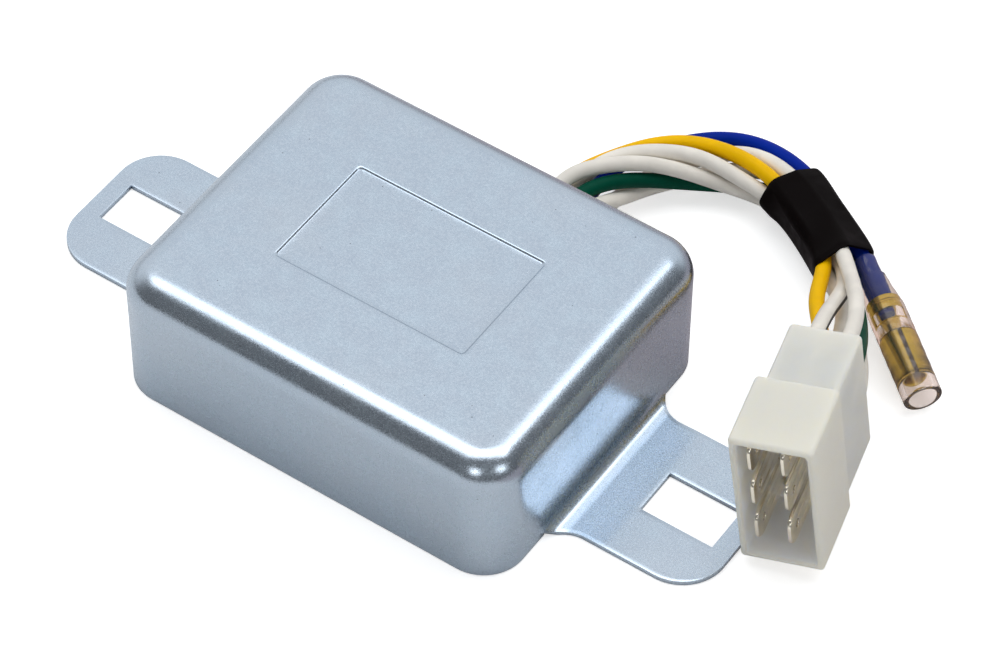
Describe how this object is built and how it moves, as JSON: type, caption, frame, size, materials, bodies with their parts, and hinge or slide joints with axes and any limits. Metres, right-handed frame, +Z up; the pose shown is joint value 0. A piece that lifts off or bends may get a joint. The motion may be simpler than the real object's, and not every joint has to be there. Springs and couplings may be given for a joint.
{
  "type": "alternator voltage regulator",
  "caption": "Low pressed-steel box with rounded corners, a slotted mounting tab at each end, and a short pigtail of wires ending in a flat-blade plug and a sleeved bullet socket.",
  "frame": {"origin": "centre of the box's footprint, in the plane of the two tabs' undersides", "axes": "+X along the box towards the tab that the plug lies over, +Y towards the wall the wires leave by, +Z up out of the flat top"},
  "size_m": [0.1523, 0.1074, 0.0319],
  "materials": {
    "zinc_plate": "satin zinc plating",
    "resin": "black potting resin",
    "board": "laminate",
    "moulded_black": "moulded epoxy",
    "axial_part": "lacquered",
    "black_rubber": "satin",
    "natural_nylon": "milky natural nylon",
    "tinned_brass": "tinned",
    "brass": "bare",
    "clear_vinyl": "clear, slightly brown",
    "yellow_vinyl": "satin vinyl",
    "blue_vinyl": "satin vinyl",
    "green_vinyl": "satin vinyl",
    "white_vinyl": "satin vinyl"
  },
  "bodies": {
    "root": {"blade_terminal_1": "tinned_brass", "blade_terminal_2": "tinned_brass", "blade_terminal_3": "tinned_brass", "blade_terminal_4": "tinned_brass", "blade_terminal_5": "tinned_brass", "blade_terminal_6": "tinned_brass", "bullet_sleeve": "clear_vinyl", "bullet_socket": "brass", "circuit_board": "board", "cover": "zinc_plate", "driver_transistor": "moulded_black", "filter_capacitor": "resin", "flyback_diode": "moulded_black", "harness_sleeve": "black_rubber", "plug_housing": "natural_nylon", "potting_resin": "resin", "power_transistor": "moulded_black", "resistor_a": "axial_part", "resistor_b": "axial_part", "wire_blue": "blue_vinyl", "wire_green": "green_vinyl", "wire_grommet": "black_rubber", "wire_white_a": "white_vinyl", "wire_white_b": "white_vinyl", "wire_white_c": "white_vinyl", "wire_white_d": "white_vinyl", "wire_yellow": "yellow_vinyl", "zener_diode": "moulded_black"}
  },
  "joints": []
}
